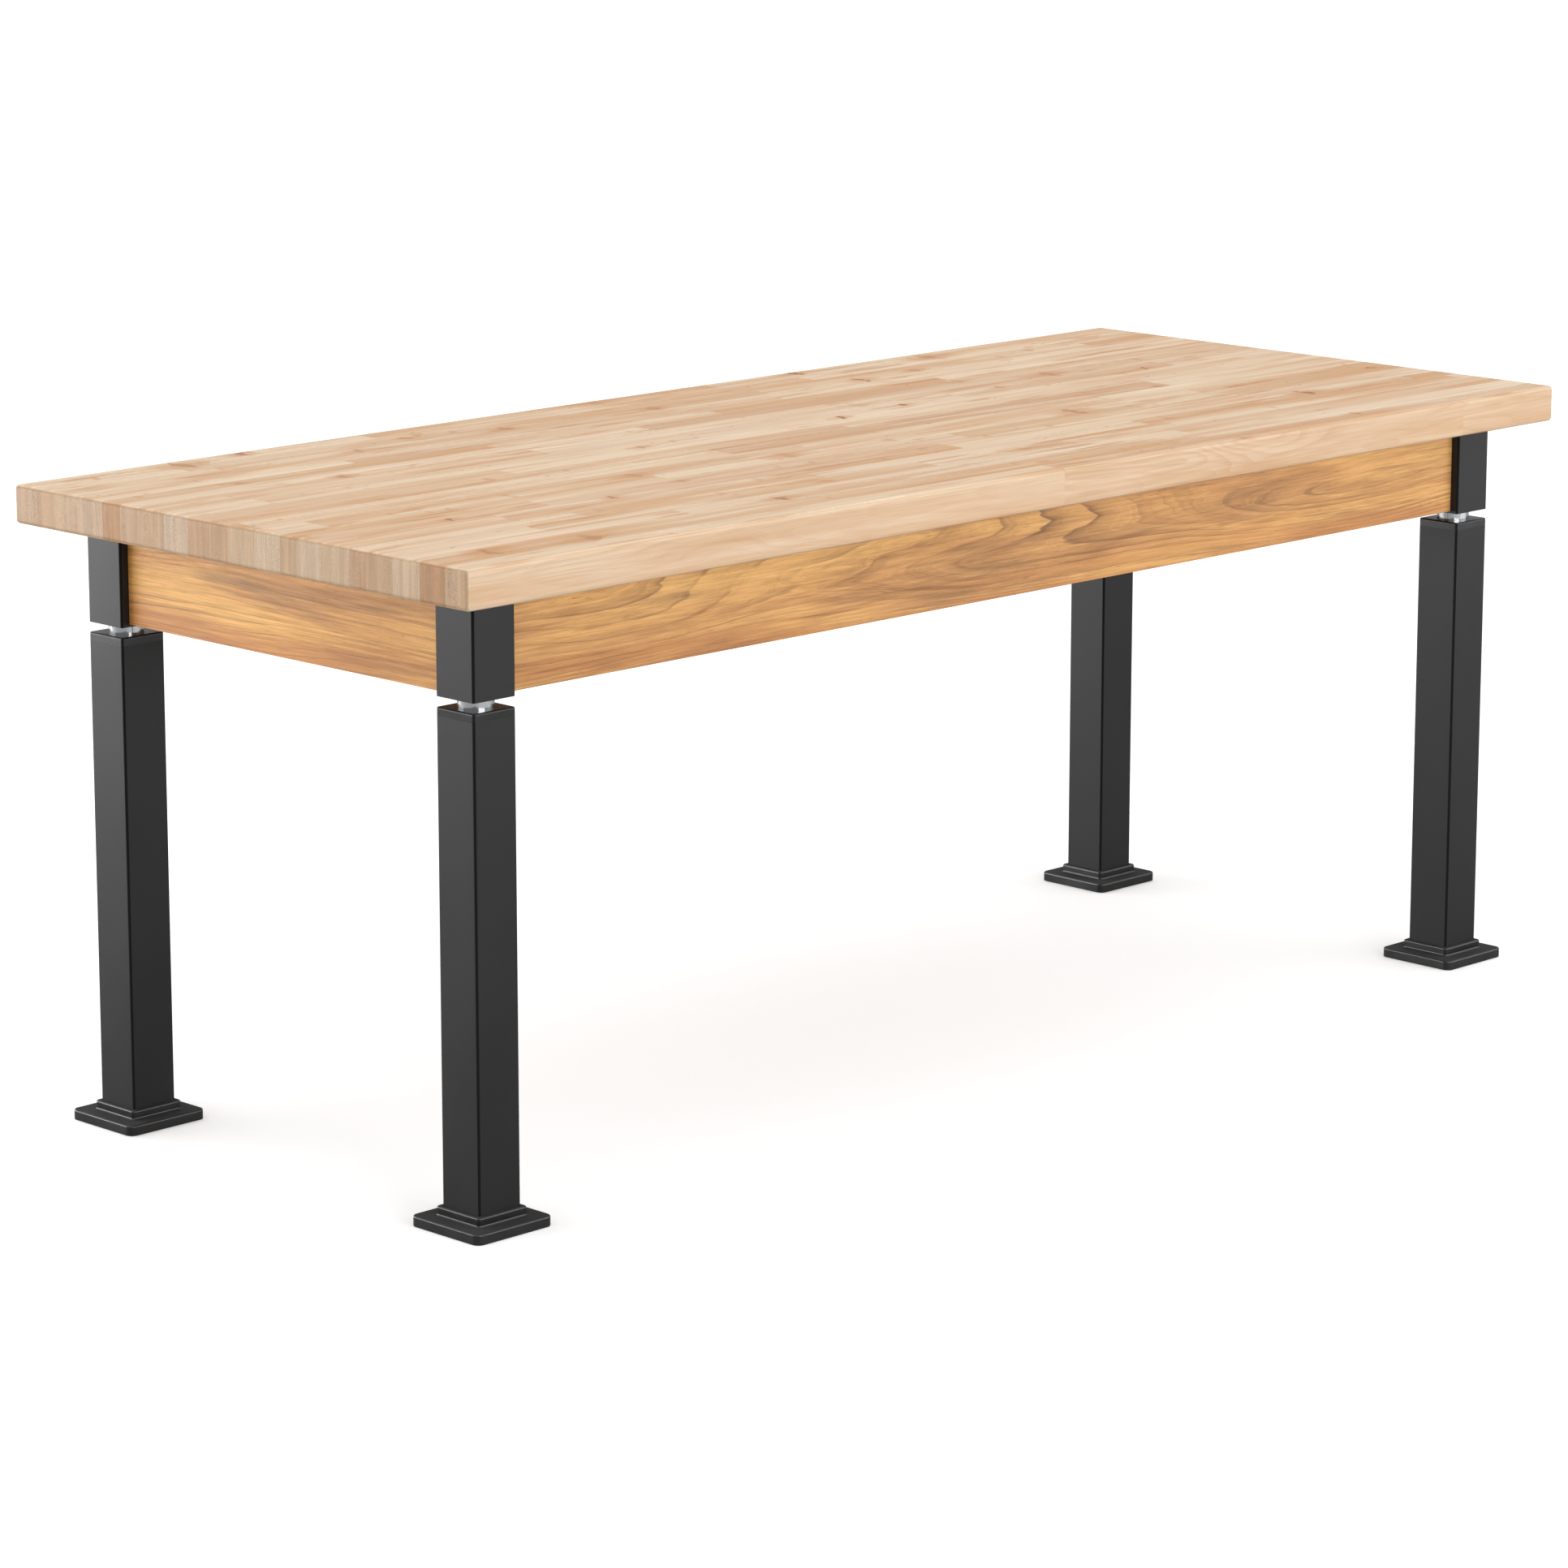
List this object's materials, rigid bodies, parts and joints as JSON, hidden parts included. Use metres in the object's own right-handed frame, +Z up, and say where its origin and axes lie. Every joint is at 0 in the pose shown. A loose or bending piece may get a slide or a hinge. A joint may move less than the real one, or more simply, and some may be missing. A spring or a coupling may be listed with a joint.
{
  "type": "butcher block table",
  "caption": "Rectangular table with a maple butcher block top on wooden aprons and square black legs, raised and lowered on chrome lift columns.",
  "frame": {"origin": "middle of the table's footprint, on the floor", "axes": "+X along the table, +Y towards its back (the crank side), +Z up"},
  "size_m": [1.8288, 0.762, 0.739],
  "materials": {
    "maple": "satin oil",
    "apron_wood": "satin lacquer",
    "black_powder_coat": "fine-textured satin powder coat",
    "gloss_black": "gloss moulded",
    "chrome": "polished hard chrome",
    "zinc_steel": "zinc plated",
    "aluminium": "machined, anodised",
    "brass": "machined",
    "nylon": "moulded",
    "hose": "extruded nylon"
  },
  "bodies": {
    "table_frame": {"butcher_block_top": "maple", "front_apron": "apron_wood", "rear_apron": "apron_wood", "left_apron": "apron_wood", "right_apron": "apron_wood", "post_base_plates": "black_powder_coat", "post_head_plates": "zinc_steel", "post_flanges": "black_powder_coat", "flange_screws": "zinc_steel", "apron_brackets": "zinc_steel", "bracket_wood_screws": "zinc_steel", "bracket_bolts": "zinc_steel", "top_clips": "zinc_steel", "clip_screws": "zinc_steel", "column_glides": "nylon", "cylinder_barrels": "aluminium", "cylinder_nuts": "zinc_steel", "pump_block": "aluminium", "pump_channel": "black_powder_coat", "pump_screws": "zinc_steel", "pump_end_plate": "zinc_steel", "crank_bushing": "gloss_black", "hose_fittings": "brass", "hose_clips": "nylon", "front_left_post": "black_powder_coat", "front_left_lift_column": "chrome", "front_left_oil_hose": "hose", "front_right_post": "black_powder_coat", "front_right_lift_column": "chrome", "front_right_oil_hose": "hose", "rear_left_post": "black_powder_coat", "rear_left_lift_column": "chrome", "rear_left_oil_hose": "hose", "rear_right_post": "black_powder_coat", "rear_right_lift_column": "chrome", "rear_right_oil_hose": "hose"},
    "pump_spindle": {"pump_spindle": "zinc_steel"},
    "pump_piston_carriage": {"pump_yoke": "zinc_steel", "pump_pistons": "zinc_steel"},
    "front_left_leg": {"front_left_leg_tube": "black_powder_coat", "front_left_leg_cap": "gloss_black", "front_left_foot": "gloss_black", "front_left_lift_rod": "chrome", "front_left_foot_screw": "zinc_steel"},
    "front_right_leg": {"front_right_leg_tube": "black_powder_coat", "front_right_leg_cap": "gloss_black", "front_right_foot": "gloss_black", "front_right_lift_rod": "chrome", "front_right_foot_screw": "zinc_steel"},
    "rear_left_leg": {"rear_left_leg_tube": "black_powder_coat", "rear_left_leg_cap": "gloss_black", "rear_left_foot": "gloss_black", "rear_left_lift_rod": "chrome", "rear_left_foot_screw": "zinc_steel"},
    "rear_right_leg": {"rear_right_leg_tube": "black_powder_coat", "rear_right_leg_cap": "gloss_black", "rear_right_foot": "gloss_black", "rear_right_lift_rod": "chrome", "rear_right_foot_screw": "zinc_steel"}
  },
  "joints": [
    {"name": "front_left_leg_slide", "type": "slide", "parent": "table_frame", "child": "front_left_leg", "axis": [0, 0, -1], "range_m": [0, 0.305]},
    {"name": "front_right_leg_slide", "type": "slide", "parent": "table_frame", "child": "front_right_leg", "axis": [0, 0, -1], "range_m": [0, 0.305]},
    {"name": "rear_left_leg_slide", "type": "slide", "parent": "table_frame", "child": "rear_left_leg", "axis": [0, 0, -1], "range_m": [0, 0.305]},
    {"name": "rear_right_leg_slide", "type": "slide", "parent": "table_frame", "child": "rear_right_leg", "axis": [0, 0, -1], "range_m": [0, 0.305]},
    {"name": "pump_carriage_slide", "type": "slide", "parent": "table_frame", "child": "pump_piston_carriage", "axis": [0, -1, 0], "range_m": [0, 0.1001]},
    {"name": "pump_spindle_turn", "type": "hinge", "parent": "table_frame", "child": "pump_spindle", "pos_m": [0, 0.29, 0.673], "axis": [0, -1, 0], "range_deg": [0, 21970]}
  ],
  "couplings": [
    {"joint": "front_right_leg_slide", "follows": "front_left_leg_slide", "ratio": 1},
    {"joint": "rear_left_leg_slide", "follows": "front_left_leg_slide", "ratio": 1},
    {"joint": "rear_right_leg_slide", "follows": "front_left_leg_slide", "ratio": 1},
    {"joint": "pump_carriage_slide", "follows": "front_left_leg_slide", "ratio": 0.32787},
    {"joint": "pump_spindle_turn", "follows": "front_left_leg_slide", "rad_per_m": 1256.6}
  ]
}
